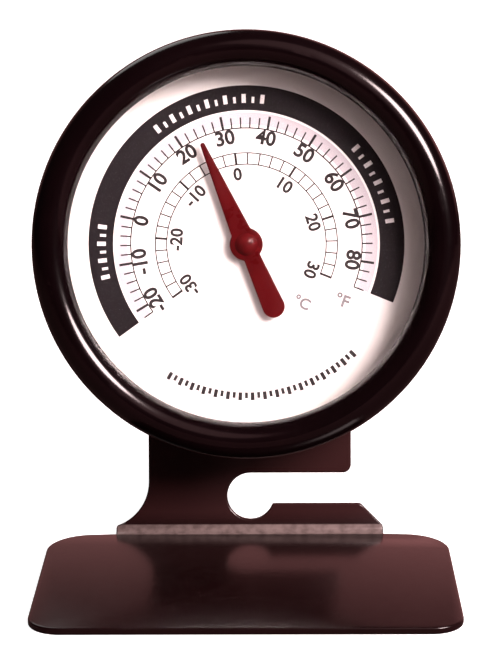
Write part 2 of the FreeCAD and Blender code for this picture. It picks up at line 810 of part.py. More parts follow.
def bimetal_coil():
    """A flat spiral of bimetal strip, from the collet to the anchor, with its rivet's hole."""
    strip = dim.coil_strip.value
    inner = (dim.collet_radius + dim.coil_clearance).value + strip / 2
    outer, anchor = dim.coil_outside.value, coil_end_radius.value
    end_angle = math.radians(90) + dim.anchor_width.value / 2 / anchor
    start_angle = math.radians(90) - 2 * math.pi * dim.coil_turns.value
    lead_out = math.radians(75)

    def radius(angle):
        share = min((angle - start_angle) / (math.radians(90) - start_angle), 1.0)
        lead = min(max((angle - math.radians(90) + lead_out) / lead_out, 0.0), 1.0)
        return inner + (outer - inner) * share + (anchor - outer) * lead ** 2 * (3 - 2 * lead)

    steps_per_turn = 24
    count = round(dim.coil_turns.value * steps_per_turn)
    sides = ([], [])
    for step in range(count + 1):
        angle = start_angle + (end_angle - start_angle) * step / count
        nudge = 1e-4
        here = radius(angle)
        slope = (radius(angle + nudge) - radius(angle - nudge)) / (2 * nudge)
        across = FreeCAD.Vector(
            here * math.cos(angle) + slope * math.sin(angle),
            here * math.sin(angle) - slope * math.cos(angle), 0).normalize()
        middle = FreeCAD.Vector(here * math.cos(angle), here * math.sin(angle), coil_base.value)
        sides[0].append(middle - across * (strip / 2))
        sides[1].append(middle + across * (strip / 2))
    edges = []
    for points in sides:
        curve = Part.BSplineCurve()
        curve.interpolate(points)
        edges.append(curve.toShape())
    edges.append(Part.makeLine(sides[0][0], sides[1][0]))
    edges.append(Part.makeLine(sides[0][-1], sides[1][-1]))
    band = Part.Face(Part.Wire(Part.__sortEdges__(edges)))
    solid = band.extrude(FreeCAD.Vector(0, 0, dim.coil_height.value))
    hole = Part.makeCylinder(
        (dim.coil_rivet_radius + dim.rivet_clearance).value, 2.0,
        FreeCAD.Vector(0, anchor - 1.0, (coil_middle).value),
        FreeCAD.Vector(0, 1, 0))
    coil = doc.addObject("Part::Feature", "bimetal_coil")
    coil.Label = "bimetal_coil"
    coil.Shape = solid.cut(hole)
    return place_on_case(coil)


# -------------------------------------------------------------------------------- the pointer

def pointer():
    """The stamped pointer: a tapering blade, a round middle and a paddle-shaped tail."""
    body = new_body("pointer")
    blade = new_sketch(body, "blade_outline", "XY_Plane", pointer_base, dim.pointer_rest)
    half_root = dim.pointer_root_width / 2
    half_tip = dim.pointer_tip_width / 2
    tip = dim.pointer_length - half_tip
    draw_outline(blade, [
        (0, -half_root),
        (tip, -half_tip, arc(half_tip, 1)),
        (dim.pointer_length, 0, arc(half_tip, 1)),
        (tip, half_tip),
        (0, half_root),
    ])
    pad(body, "blade", blade, dim.pointer_thickness)
    tail = new_sketch(body, "tail_outline", "XY_Plane", pointer_base, dim.pointer_rest)
    half_tail = dim.tail_root_width / 2
    end = dim.tail_end_radius
    end_middle = end - dim.tail_length
    draw_outline(tail, [
        (0, half_tail),
        (end_middle, end, arc(end, 1)),
        (-dim.tail_length, 0, arc(end, 1)),
        (end_middle, -end),
        (0, -half_tail),
    ])
    pad(body, "tail", tail, dim.pointer_thickness)
    disc = new_sketch(body, "disc_outline", "XY_Plane", pointer_base)
    draw_circle(disc, 0, 0, dim.pointer_disc)
    pad(body, "disc", disc, dim.pointer_thickness)
    hole = new_sketch(body, "pointer_hole", "XY_Plane")
    draw_circle(hole, 0, 0, dim.pointer_bush_neck)
    pocket(body, "pointer_hole_cut", hole)
    return place_on_case(body)


def pointer_bush():
    """The bush that the pointer is riveted to, pressed on the shaft, with a domed head."""
    head, crown = dim.pointer_bush_head, dim.pointer_bush_crown
    crown_radius = (head * head + crown * crown) / (crown * 2)
    collar_base = pointer_base - dim.pointer_bush_collar_height
    return place_on_case(turned("pointer_bush", [
        (dim.shaft_radius, collar_base),
        (dim.pointer_bush_collar, collar_base),
        (dim.pointer_bush_collar, pointer_base),
        (dim.pointer_bush_neck, pointer_base),
        (dim.pointer_bush_neck, pointer_top),
        (head, pointer_top, arc(crown_radius, 1)),
        (0, pointer_top + crown),
        (0, shaft_end),
        (dim.shaft_radius, shaft_end),
    ]))


# ------------------------------------------------------------------------- build, check, write

MAKERS = [
    stand_bracket, stand_rivets, case_cup, bezel_ring, lens, lens_gasket, spacer_ring,
    dial_plate, movement_bridge, rear_bush, front_bush, coil_anchor, coil_rivet, bimetal_coil,
    coil_collet, pointer_shaft, shaft_washer, shaft_clip, pointer_bush, pointer,
]
parts = [make() for make in MAKERS]
doc.recompute()

for item in doc.Objects:
    if "Invalid" in item.State or "Error" in item.State:
        raise RuntimeError(f"{item.Name} failed: {item.State}")
for part in parts:
    shape = part.Shape
    if shape.isNull() or not shape.isValid():
        raise RuntimeError(f"{part.Label} has no valid shape")

os.makedirs("parts", exist_ok=True)
for part in parts:
    part.Shape.exportStep(f"parts/{part.Label}.step")
    print(f"{part.Label}: {len(part.Shape.Solids)} solid, {part.Shape.Volume:.1f} mm3")
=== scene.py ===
import json
import math
import bpy
from mathutils import Matrix, Vector


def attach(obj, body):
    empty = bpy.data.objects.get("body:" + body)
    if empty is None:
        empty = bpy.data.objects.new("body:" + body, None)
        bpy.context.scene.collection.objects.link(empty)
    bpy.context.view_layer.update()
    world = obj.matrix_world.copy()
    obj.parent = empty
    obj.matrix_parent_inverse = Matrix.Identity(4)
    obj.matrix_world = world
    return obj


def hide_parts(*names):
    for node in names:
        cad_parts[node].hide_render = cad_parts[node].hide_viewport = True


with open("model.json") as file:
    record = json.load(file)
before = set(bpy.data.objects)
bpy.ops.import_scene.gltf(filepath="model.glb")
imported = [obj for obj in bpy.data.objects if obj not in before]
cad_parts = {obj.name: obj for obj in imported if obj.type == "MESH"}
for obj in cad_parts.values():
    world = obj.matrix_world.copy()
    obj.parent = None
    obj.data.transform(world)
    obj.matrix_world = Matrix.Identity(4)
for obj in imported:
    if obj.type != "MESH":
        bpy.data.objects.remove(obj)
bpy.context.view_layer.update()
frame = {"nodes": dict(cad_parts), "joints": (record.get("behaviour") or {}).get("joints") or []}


# Stand bracket: one strip of 1 mm mild steel, blanked with its wire slot and finger, folded
# once, and dipped in dark brown stove enamel. The coat rounds every cut edge. Its colour is
# painted darker on the foot and lighter on the upright, as painted shade and light, and a pale
# painted highlight runs along the inside of the bend.

def feed(tree, socket, value):
    """Gives a socket its value, or joins it to another node's output."""
    if isinstance(value, bpy.types.NodeSocket):
        tree.links.new(value, socket)
    else:
        socket.default_value = value


def add(tree, kind, **inputs):
    """A new shader node; each named input is given a value or joined to another node's output."""
    made = tree.nodes.new("ShaderNode" + kind)
    for label, value in inputs.items():
        feed(tree, made.inputs[label.replace("_", " ")], value)
    return made


def spread(tree, value, low, high, first=0.0, last=1.0):
    """Stretches a value so that low to high becomes first to last, and holds it there."""
    ranged = add(
        tree, "MapRange", Value=value, From_Min=low, From_Max=high, To_Min=first, To_Max=last)
    return ranged.outputs["Result"]


def times(tree, first, second):
    """The product of two values, each a number or another node's output."""
    product = tree.nodes.new("ShaderNodeMath")
    product.operation = "MULTIPLY"
    feed(tree, product.inputs[0], first)
    feed(tree, product.inputs[1], second)
    return product.outputs["Value"]


def blended(tree, share, first, second):
    """The first colour, turning into the second one as share goes from 0 to 1."""
    mix = tree.nodes.new("ShaderNodeMix")
    mix.data_type = "RGBA"
    feed(tree, mix.inputs[0], share)
    feed(tree, mix.inputs[6], first)
    feed(tree, mix.inputs[7], second)
    return mix.outputs[2]


def effect(name, inputs, outputs):
    """An empty shader group with these number inputs and outputs: the group, and its two ends."""
    group = bpy.data.node_groups.new(name, "ShaderNodeTree")
    for label, value in inputs.items():
        socket = group.interface.new_socket(label, in_out="INPUT", socket_type="NodeSocketFloat")
        socket.default_value = value
    for label in outputs:
        group.interface.new_socket(label, in_out="OUTPUT", socket_type="NodeSocketFloat")
    entry = group.nodes.new("NodeGroupInput")
    result = group.nodes.new("NodeGroupOutput")
    return group, entry.outputs, result.inputs


def placed(tree, group, **inputs):
    """A shader group set into a material, with that material's own values: its outputs."""
    made = tree.nodes.new("ShaderNodeGroup")
    made.node_tree = group
    for label, value in inputs.items():
        made.inputs[label.replace("_", " ")].default_value = value
    return made.outputs


def finish(name, **sockets):
    """A material with its even values set on the shader's own sockets: it, its tree and shader."""
    made = bpy.data.materials.new(name)
    made.use_nodes = True
    shader = made.node_tree.nodes["Principled BSDF"]
    for label, value in sockets.items():
        shader.inputs[label.replace("_", " ")].default_value = value
    return made, made.node_tree, shader


def bumped(tree, shader, height, depth):
    """Raises the surface by height times depth, in metres."""
    bump = add(tree, "Bump", Height=height, Distance=depth, Strength=1.0)
    tree.links.new(bump.outputs["Normal"], shader.inputs["Normal"])


coat_skin, skin_in, skin_out = effect(
    "fired coat", {"Peel Scale": 900.0, "Drift Scale": 60.0}, ("Peel", "Drift", "Nibs"))
skin_place = add(coat_skin, "TexCoord").outputs["Object"]
peel = add(
    coat_skin, "TexNoise", Vector=skin_place, Scale=skin_in["Peel Scale"], Detail=2.0, Roughness=0.45)
drift = add(
    coat_skin, "TexNoise", Vector=skin_place, Scale=skin_in["Drift Scale"], Detail=4.0, Roughness=0.6)
nibs = add(coat_skin, "TexVoronoi", Vector=skin_place, Scale=420.0, Randomness=1.0)
rare = add(coat_skin, "TexNoise", Vector=skin_place, Scale=130.0, Detail=1.0)
coat_skin.links.new(peel.outputs["Fac"], skin_out["Peel"])
coat_skin.links.new(spread(coat_skin, drift.outputs["Fac"], 0.35, 0.65), skin_out["Drift"])
nib_dots = spread(coat_skin, nibs.outputs["Distance"], 0.10, 0.02)
coat_skin.links.new(
    times(coat_skin, nib_dots, spread(coat_skin, rare.outputs["Fac"], 0.56, 0.62)), skin_out["Nibs"])

dust_fall, dust_in, dust_out = effect("settled dust", {"Amount": 0.2}, ("Dust",))
dust_place = add(dust_fall, "TexCoord").outputs
facing = add(dust_fall, "SeparateXYZ", Vector=dust_place["Normal"]).outputs["Z"]
lint = add(
    dust_fall, "TexNoise", Vector=dust_place["Object"], Scale=700.0, Detail=5.0, Roughness=0.75)
upward = spread(dust_fall, facing, 0.35, 1.0)
patchy = spread(dust_fall, lint.outputs["Fac"], 0.42, 0.72)
settled = times(dust_fall, upward, patchy)
dust_fall.links.new(times(dust_fall, settled, dust_in["Amount"]), dust_out["Dust"])
dust_colour = (0.30, 0.24, 0.22, 1.0)


def enamel(name, deep, thin, dust, gloss, peel_scale, peel_depth, **sockets):
    """Stove enamel: its deep and thin colours, dust, roughness range and orange peel."""
    made, tree, shader = finish(name, **sockets)
    skin = placed(tree, coat_skin, Peel_Scale=peel_scale)
    fall = placed(tree, dust_fall, Amount=dust)["Dust"]
    body = blended(tree, skin["Drift"], deep, thin)
    tree.links.new(blended(tree, fall, body, dust_colour), shader.inputs["Base Color"])
    rough = spread(tree, skin["Drift"], 0.0, 1.0, gloss[0], gloss[1])
    dusty = tree.nodes.new("ShaderNodeMath")
    tree.links.new(rough, dusty.inputs[0])
    tree.links.new(fall, dusty.inputs[1])
    tree.links.new(dusty.outputs["Value"], shader.inputs["Roughness"])
    height = tree.nodes.new("ShaderNodeMath")
    tree.links.new(skin["Peel"], height.inputs[0])
    tree.links.new(skin["Nibs"], height.inputs[1])
    bumped(tree, shader, height.outputs["Value"], peel_depth)
    return made


def only(piece):
    """Selects this object alone and makes it the active one."""
    bpy.ops.object.select_all(action="DESELECT")
    piece.select_set(True)
    bpy.context.view_layer.objects.active = piece


flat_within = math.radians(0.35)
sharp_from = math.radians(40)
smooth_below = math.radians(30)


def softened(node, name, body, coat, edge):
    """Stands in for a stamped CAD node: the same shape with the coat's rounding on its edges."""
    piece = bpy.data.objects.new(name, frame["nodes"][node].data.copy())
    bpy.context.collection.objects.link(piece)
    only(piece)
    bpy.ops.mesh.customdata_custom_splitnormals_clear()
    bpy.ops.object.mode_set(mode="EDIT")
    bpy.ops.mesh.select_all(action="SELECT")
    bpy.ops.mesh.remove_doubles(threshold=1e-6)
    bpy.ops.mesh.dissolve_limited(angle_limit=flat_within)
    bpy.ops.object.mode_set(mode="OBJECT")
    bevel = piece.modifiers.new("rounding", "BEVEL")
    bevel.width = edge
    bevel.segments = 3
    bevel.limit_method = "ANGLE"
    bevel.angle_limit = sharp_from
    bevel.use_clamp_overlap = False
    bpy.ops.object.modifier_apply(modifier=bevel.name)
    bpy.ops.object.shade_smooth_by_angle(angle=smooth_below)
    piece.data.materials.clear()
    piece.data.materials.append(coat)
    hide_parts(node)
    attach(piece, body)
    return piece


stand_enamel = enamel(
    "stand_enamel", deep=(0.0062, 0.0018, 0.0020, 1.0), thin=(0.0082, 0.0026, 0.0028, 1.0), dust=0.012,
    gloss=(0.19, 0.23), peel_scale=1100.0, peel_depth=0.000012, Specular_IOR_Level=0.4)


def reach(node, direction):
    """How far a CAD node goes in a direction, measured from the frame's origin."""
    return max(direction.dot(corner.co) for corner in frame["nodes"][node].data.vertices)


hinge = frame["joints"][0]
pivot = Vector(hinge["pos_m"])
outward = Vector(hinge["axis"]).normalized()
rightward = Vector((1.0, 0.0, 0.0))
upward_dial = outward.cross(rightward)

sheet = 0.001
bend = 0.001             # inside radius
upright_front = reach("case_cup", -outward)
fold_height = sheet + bend
fold_depth = (bend - upright_front - fold_height * outward.z) / outward.y
fold_tree = stand_enamel.node_tree
fold_shader = fold_tree.nodes["Principled BSDF"]
fold_coords = add(fold_tree, "TexCoord").outputs["Object"]
across_fold = add(
    fold_tree, "Mapping", Vector=fold_coords, Scale=(0.0, 1.0, 1.0)).outputs["Vector"]
from_bend = fold_tree.nodes.new("ShaderNodeVectorMath")
from_bend.operation = "DISTANCE"
fold_tree.links.new(across_fold, from_bend.inputs[0])
from_bend.inputs[1].default_value = (0.0, fold_depth, fold_height)
# Painted highlight: a pale band painted along the inside of the bend and broken up by noise, standing
# for light caught in the fold.
near_bend = spread(fold_tree, from_bend.outputs["Value"], bend * 1.06, bend * 1.01)
highlight_breakup = add(fold_tree, "TexNoise", Vector=fold_coords, Scale=900.0, Detail=3.0)
highlight_breakup_share = spread(fold_tree, highlight_breakup.outputs["Fac"], 0.30, 0.62, 0.55, 1.0)
bend_highlight_share = times(fold_tree, near_bend, highlight_breakup_share)
foot_coat = fold_shader.inputs["Base Color"].links[0].from_socket
# Painted shade and light: the foot is painted darker and the upright lighter, for how light falls on
# each, though both carry the same enamel.
height = add(fold_tree, "SeparateXYZ", Vector=fold_coords).outputs["Z"]
upright_share = spread(fold_tree, height, sheet * 1.5, sheet * 4.0)
foot_shade_upright_light = blended(fold_tree, upright_share, foot_coat, (0.0290, 0.0102, 0.0104, 1.0))
painted_bend_highlight = blended(fold_tree, bend_highlight_share, foot_shade_upright_light, (0.19, 0.150, 0.142, 1.0))
fold_tree.links.new(painted_bend_highlight, fold_shader.inputs["Base Color"])
softened(
    "stand_bracket", "folded_stand", "case_and_stand", stand_enamel, edge=0.00025)


# Stand rivets: two snap-head rivets of plated steel, set from behind through the upright and
# the case's floor, their heads left bright and a little scratched by the setting tool.

grain, grain_in, grain_out = effect(
    "metal grain", {"Grain Scale": 900.0, "Tarnish Scale": 260.0}, ("Grain", "Tarnish", "Scratches"))
grain_place = add(grain, "TexCoord").outputs["Object"]
fine = add(
    grain, "TexNoise", Vector=grain_place, Scale=grain_in["Grain Scale"], Detail=6.0, Roughness=0.7)
stain = add(
    grain, "TexNoise", Vector=grain_place, Scale=grain_in["Tarnish Scale"], Detail=4.0, Roughness=0.6)
long_way = add(
    grain, "Mapping", Vector=grain_place, Scale=(160.0, 4200.0, 4200.0), Rotation=(0.0, 0.35, 0.2))
lines = add(grain, "TexNoise", Vector=long_way.outputs["Vector"], Scale=1.0, Detail=2.0)
grain.links.new(fine.outputs["Fac"], grain_out["Grain"])
grain.links.new(spread(grain, stain.outputs["Fac"], 0.45, 0.68), grain_out["Tarnish"])
grain.links.new(spread(grain, lines.outputs["Fac"], 0.60, 0.72), grain_out["Scratches"])


def bare_metal(name, clean, dull, gloss, depth):
    """Bare or plated metal: its clean and dulled colours, roughness range and grain depth."""
    made, tree, shader = finish(name, Metallic=1.0)
    surface = placed(tree, grain, Grain_Scale=2200.0)
    tree.links.new(blended(tree, surface["Tarnish"], clean, dull), shader.inputs["Base Color"])
    tree.links.new(spread(tree, surface["Tarnish"], 0.0, 1.0, *gloss), shader.inputs["Roughness"])
    marks = tree.nodes.new("ShaderNodeMath")
    marks.operation = "SUBTRACT"
    tree.links.new(surface["Grain"], marks.inputs[0])
    tree.links.new(surface["Scratches"], marks.inputs[1])
    bumped(tree, shader, marks.outputs["Value"], depth)
    return made


def dress(node, coat):
    """Gives a CAD node its finish, in every slot that it has."""
    for place in frame["nodes"][node].material_slots:
        place.material = coat


rivet_steel = bare_metal(
    "rivet_steel", clean=(0.52, 0.50, 0.47, 1.0), dull=(0.22, 0.20, 0.18, 1.0), gloss=(0.28, 0.50),
    depth=0.000006)
dress("stand_rivets", rivet_steel)


# Case: a deep-drawn steel cup with a stepped wall, eight vents and a turned-out flange, in
# the same black enamel as the bezel but with a duller skin from the dip.

case_enamel = enamel(
    "case_enamel", deep=(0.0075, 0.0040, 0.0042, 1.0), thin=(0.014, 0.0075, 0.0075, 1.0), dust=0.05,
    gloss=(0.34, 0.46), peel_scale=1000.0, peel_depth=0.00003, Specular_IOR_Level=0.4)
dress("case_cup", case_enamel)


# Movement: a folded brass bridge with two turned bushes, the coil's steel anchor and its
# copper-coloured rivet, all behind the dial and bare.

movement_brass = bare_metal(
    "movement_brass", clean=(0.74, 0.52, 0.22, 1.0), dull=(0.40, 0.24, 0.09, 1.0), gloss=(0.26, 0.48),
    depth=0.000005)
movement_steel = bare_metal(
    "movement_steel", clean=(0.56, 0.55, 0.53, 1.0), dull=(0.30, 0.28, 0.26, 1.0), gloss=(0.22, 0.42),
    depth=0.000004)
for brass_node in ("movement_bridge", "rear_bush", "front_bush", "coil_rivet", "coil_collet"):
    dress(brass_node, movement_brass)
for steel_node in ("coil_anchor", "pointer_shaft", "shaft_washer", "shaft_clip"):
    dress(steel_node, movement_steel)


# Bimetal coil: a flat strip of two rolled alloys wound into a spiral, coppery on the side
# that faces the shaft and nickel-grey on the outside, straw-coloured from its heat setting.

bimetal, strip_tree, strip_shader = finish("bimetal_strip", Metallic=1.0)
strip_skin = placed(strip_tree, grain, Grain_Scale=1800.0, Tarnish_Scale=300.0)
strip_place = add(strip_tree, "TexCoord").outputs
from_shaft = strip_tree.nodes.new("ShaderNodeVectorMath")
from_shaft.operation = "SUBTRACT"
strip_tree.links.new(strip_place["Object"], from_shaft.inputs[0])
from_shaft.inputs[1].default_value = pivot
outside = strip_tree.nodes.new("ShaderNodeVectorMath")
outside.operation = "DOT_PRODUCT"
strip_tree.links.new(strip_place["Normal"], outside.inputs[0])
strip_tree.links.new(from_shaft.outputs["Vector"], outside.inputs[1])
outer_face = spread(strip_tree, outside.outputs["Value"], -0.0008, 0.0008)
two_metals = blended(strip_tree, outer_face, (0.55, 0.27, 0.13, 1.0), (0.50, 0.48, 0.44, 1.0))
coloured = times(strip_tree, strip_skin["Tarnish"], 0.6)
straw = blended(strip_tree, coloured, two_metals, (0.42, 0.26, 0.10, 1.0))
strip_tree.links.new(straw, strip_shader.inputs["Base Color"])
strip_tree.links.new(
    spread(strip_tree, strip_skin["Grain"], 0.3, 0.7, 0.26, 0.42), strip_shader.inputs["Roughness"])
bumped(strip_tree, strip_shader, strip_skin["Grain"], 0.000004)
dress("bimetal_coil", bimetal)


# Dial: a 0.5 mm aluminium disc, lacquered white and screen-printed. The lacquer has a satin
# skin, is a shade warmer where it is thin, and yellows slightly towards the rim.

dial_level = reach("dial_plate", outward) - outward.dot(pivot)
dial_middle = pivot + outward * dial_level
dial_radius = reach("dial_plate", rightward)
dial_place = Matrix((rightward, upward_dial, outward)).transposed().to_4x4()
dial_place.translation = dial_middle

dial_white, dial_tree, dial_shader = finish("dial_white", Specular_IOR_Level=0.35)
dial_skin = placed(dial_tree, coat_skin, Peel_Scale=2600.0, Drift_Scale=90.0)
dial_coords = add(dial_tree, "TexCoord").outputs["Object"]
from_middle = dial_tree.nodes.new("ShaderNodeVectorMath")
from_middle.operation = "DISTANCE"
dial_tree.links.new(dial_coords, from_middle.inputs[0])
from_middle.inputs[1].default_value = dial_middle
aged = spread(dial_tree, from_middle.outputs["Value"], dial_radius * 0.80, dial_radius * 1.02)
lacquer = blended(dial_tree, dial_skin["Drift"], (0.86, 0.86, 0.85, 1.0), (0.83, 0.825, 0.80, 1.0))
warm = blended(dial_tree, times(dial_tree, aged, 0.5), lacquer, (0.80, 0.76, 0.68, 1.0))
dial_tree.links.new(warm, dial_shader.inputs["Base Color"])
dial_tree.links.new(
    spread(dial_tree, dial_skin["Drift"], 0.0, 1.0, 0.42, 0.55), dial_shader.inputs["Roughness"])
bumped(dial_tree, dial_shader, dial_skin["Peel"], 0.000006)
dress("dial_plate", dial_white)


# Dial printing, zone band: a broad black arc over the two scales, screen-printed in one pass
# with square ends. The film of ink stands 0.02 mm proud with soft edges.

print_skin, print_in, print_out = effect("printed film", {"Film Scale": 1600.0}, ("Density", "Film"))
print_coords = add(print_skin, "TexCoord").outputs["Object"]
mesh_marks = add(
    print_skin, "TexNoise", Vector=print_coords, Scale=print_in["Film Scale"], Detail=3.0)
thin_spots = add(
    print_skin, "TexNoise", Vector=print_coords, Scale=5200.0, Detail=2.0, Roughness=0.6)
print_skin.links.new(spread(print_skin, thin_spots.outputs["Fac"], 0.56, 0.70), print_out["Density"])
print_skin.links.new(mesh_marks.outputs["Fac"], print_out["Film"])


def ink(name, solid, starved):
    """Screen-printing ink: its colour where the film is whole and where it is starved."""
    made, tree, shader = finish(name, Specular_IOR_Level=0.2)
    film = placed(tree, print_skin)
    tree.links.new(
        blended(tree, times(tree, film["Density"], 0.5), solid, starved), shader.inputs["Base Color"])
    tree.links.new(spread(tree, film["Film"], 0.3, 0.7, 0.50, 0.62), shader.inputs["Roughness"])
    bumped(tree, shader, film["Film"], 0.000004)
    return made


black_ink = ink("black_ink", (0.0060, 0.0042, 0.0056, 1.0), (0.030, 0.026, 0.028, 1.0))
ink_film = 0.00002       # thickness of one pass
ink_key = 0.00001        # how far the film's underside is sunk in what it lies on


def printed(piece, name, colour):
    """Sets flat artwork, drawn round the frame's origin, onto the dial's face as one piece."""
    only(piece)
    bpy.ops.object.mode_set(mode="EDIT")
    bpy.ops.mesh.select_all(action="SELECT")
    bpy.ops.mesh.remove_doubles(threshold=1e-7)
    bpy.ops.mesh.normals_make_consistent(inside=False)
    bpy.ops.object.mode_set(mode="OBJECT")
    piece.matrix_world = dial_place @ piece.matrix_world
    bpy.ops.object.transform_apply(location=True, rotation=True, scale=True)
    piece.name = name
    piece.data.name = name
    piece.data.materials.clear()
    piece.data.materials.append(colour)
    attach(piece, "case_and_stand")
    return piece


arc_step = 1.5


def arc_of_ink(inner, outer, start, end, film=ink_film):
    """A flat arc between two radii, clockwise from one angle to another, in degrees."""
    middle = ((inner + outer) / 2, 0, (film - ink_key) / 2)
    bpy.ops.object.select_all(action="DESELECT")
    bpy.ops.mesh.primitive_plane_add(size=1, location=middle, rotation=(math.pi / 2, 0, 0))
    arc = bpy.context.object
    arc.scale = (outer - inner, film + ink_key, 1)
    bpy.ops.object.transform_apply(location=True, rotation=True, scale=True)
    arc.matrix_world = Matrix.Rotation(math.radians(start), 4, "Z")
    bpy.ops.object.transform_apply(location=True, rotation=True, scale=True)
    bpy.ops.object.mode_set(mode="EDIT")
    bpy.ops.mesh.select_all(action="SELECT")
    bpy.ops.mesh.spin(
        steps=round((start - end) / arc_step), angle=math.radians(start - end), center=(0, 0, 0),
        axis=(0, 0, 1))
    bpy.ops.object.mode_set(mode="OBJECT")
    return arc


band_inner = 0.0189
band_outer = 0.0224
band_start = 216.0
band_end = -22.0
printed(arc_of_ink(band_inner, band_outer, band_start, band_end), "zone_band", black_ink)


# Dial printing, zone marks: three rows of plain white bars on the band, one over each of the
# cold, cool and mild stretches. They are printed over the black once it is dry.

white_ink = ink("white_ink", (0.80, 0.79, 0.78, 1.0), (0.42, 0.40, 0.41, 1.0))


film_draws_in = (0.98, 0.90, 1.0)


def bar_of_ink(width, inner, outer, angle, film=ink_film):
    """One upright bar between two radii at an angle in degrees, its film drawn in at the top."""
    middle = (inner + outer) / 2
    bpy.ops.object.select_all(action="DESELECT")
    bpy.ops.mesh.primitive_plane_add(size=1, location=(middle, 0, -ink_key))
    bar = bpy.context.object
    bar.scale = (outer - inner, width, 1)
    bpy.ops.object.transform_apply(location=True, rotation=True, scale=True)
    bpy.ops.object.mode_set(mode="EDIT")
    bpy.ops.mesh.select_all(action="SELECT")
    bpy.ops.mesh.extrude_region_move(TRANSFORM_OT_translate={"value": (0, 0, film + ink_key)})
    bpy.ops.transform.resize(value=film_draws_in, center_override=(middle, 0, 0))
    bpy.ops.object.mode_set(mode="OBJECT")
    bar.matrix_world = Matrix.Rotation(math.radians(angle), 4, "Z")
    bpy.ops.object.transform_apply(location=True, rotation=True, scale=True)
    return bar


def repeated(piece, count, turn):
    """Copies the piece clockwise round the dial, count in all, with a turn in degrees between."""
    only(piece)
    bpy.ops.object.mode_set(mode="EDIT")
    bpy.ops.mesh.select_all(action="SELECT")
    bpy.ops.mesh.spin(
        steps=count - 1, dupli=True, angle=math.radians(turn * (count - 1)), center=(0, 0, 0),
        axis=(0, 0, 1))
    bpy.ops.object.mode_set(mode="OBJECT")
    return piece


def joined(pieces):
    """One object out of several."""
    only(pieces[0])
    for piece in pieces[1:]:
        piece.select_set(True)
    bpy.ops.object.join()
    return pieces[0]


zone_middle = 0.02055
zone_height = 0.00125
zone_low = zone_middle - zone_height / 2
zone_high = zone_middle + zone_height / 2
zone_short = zone_middle + zone_height / 5
zone_film = 2 * ink_film
tall_width = 0.00062
short_width = 0.00040
zone_rows = (("cold_zone_marks", 193.0, 173.0, 7), ("cool_zone_marks", 127.5, 83.5, 13),
             ("mild_zone_marks", 41.0, 9.0, 9))
for row_name, row_start, row_end, row_count in zone_rows:
    pitch = (row_start - row_end) / (row_count - 1)
    tall = bar_of_ink(tall_width, zone_low, zone_high, row_start, zone_film)
    short = bar_of_ink(short_width, zone_low, zone_short, row_start - pitch, zone_film)
    tall_row = repeated(tall, (row_count + 1) // 2, 2 * pitch)
    short_row = repeated(short, row_count // 2, 2 * pitch)
    printed(joined([tall_row, short_row]), row_name, white_ink)


# Dial printing, Fahrenheit scale: a pale grey track inside the band, a mark every two degrees
# and a longer one every ten, on a fine line, with upright numerals facing the rim.

fahrenheit_zero = 167.3
fahrenheit_turn = 2.2


def fahrenheit_angle(degrees):
    """Where a Fahrenheit reading lies on the dial, in degrees anticlockwise from the right."""
    return fahrenheit_zero - fahrenheit_turn * degrees


grey_ink = ink("grey_ink", (0.50, 0.475, 0.51, 1.0), (0.66, 0.63, 0.66, 1.0))
sign_ink = ink("sign_ink", (0.17, 0.16, 0.17, 1.0), (0.30, 0.28, 0.29, 1.0))
soft_black_ink = ink("soft_black_ink", (0.016, 0.013, 0.014, 1.0), (0.075, 0.065, 0.066, 1.0))
scale_start = -22
scale_end = 86
outer_marks_inner = 0.0164
outer_marks_outer = 0.0183
outer_small_outer = 0.0179
outer_small_width = 0.00022
outer_large_width = 0.00038
half_outer_line = 0.00009
track_inner = 0.0169
track_outer = 0.0186
first_angle = fahrenheit_angle(scale_start)
last_angle = fahrenheit_angle(scale_end)
printed(
    arc_of_ink(track_inner, track_outer, first_angle, last_angle, film=ink_film / 2),
    "fahrenheit_track", grey_ink)
outer_line = arc_of_ink(
    outer_marks_inner - half_outer_line, outer_marks_inner + half_outer_line, first_angle, last_angle)
small_marks = repeated(
    bar_of_ink(outer_small_width, outer_marks_inner, outer_small_outer, first_angle),
    (scale_end - scale_start) // 2 + 1, 2 * fahrenheit_turn)
large_marks = repeated(
    bar_of_ink(outer_large_width, outer_marks_inner, outer_marks_outer, fahrenheit_angle(-20)),
    11, 10 * fahrenheit_turn)
printed(joined([outer_line, small_marks, large_marks]), "fahrenheit_marks", soft_black_ink)


figure_boldness = 0.032


def numeral(words, size, radius, angle, turn):
    """A printed figure or unit at a radius and angle, turned by so many degrees."""
    bpy.ops.object.select_all(action="DESELECT")
    bpy.ops.object.text_add()
    text = bpy.context.object
    text.data.body = words
    text.data.size = size
    text.data.align_x = "CENTER"
    text.data.align_y = "CENTER"
    text.data.resolution_u = 5
    text.data.offset = size * figure_boldness
    text.data.extrude = (ink_film + ink_key) / 2
    bpy.ops.object.convert(target="MESH")
    figure = bpy.context.object
    figure.matrix_world = (
        Matrix.Rotation(math.radians(angle), 4, "Z")
        @ Matrix.Translation((radius, 0, (ink_film - ink_key) / 2))
        @ Matrix.Rotation(math.radians(turn - angle), 4, "Z"))
    bpy.ops.object.transform_apply(location=True, rotation=True, scale=True)
    return figure


outer_size = 0.0028
outer_radius = 0.01515
outer_figures = [
    numeral(str(reading), outer_size, outer_radius, fahrenheit_angle(reading),
            fahrenheit_angle(reading) - 90)
    for reading in range(-20, 81, 10)]
printed(joined(outer_figures), "fahrenheit_numerals", soft_black_ink)
printed(numeral("°F", 0.0024, 0.0158, -31.0, -20.0), "fahrenheit_sign", sign_ink)


# Dial printing, Celsius scale: a ladder of marks every two degrees between two fine lines,
# with smaller numerals inside it.

celsius_turn = 3.96


def celsius_angle(degrees):
    """Where a Celsius reading lies on the dial, in degrees anticlockwise from the right."""
    return fahrenheit_angle(1.8 * degrees + 32)


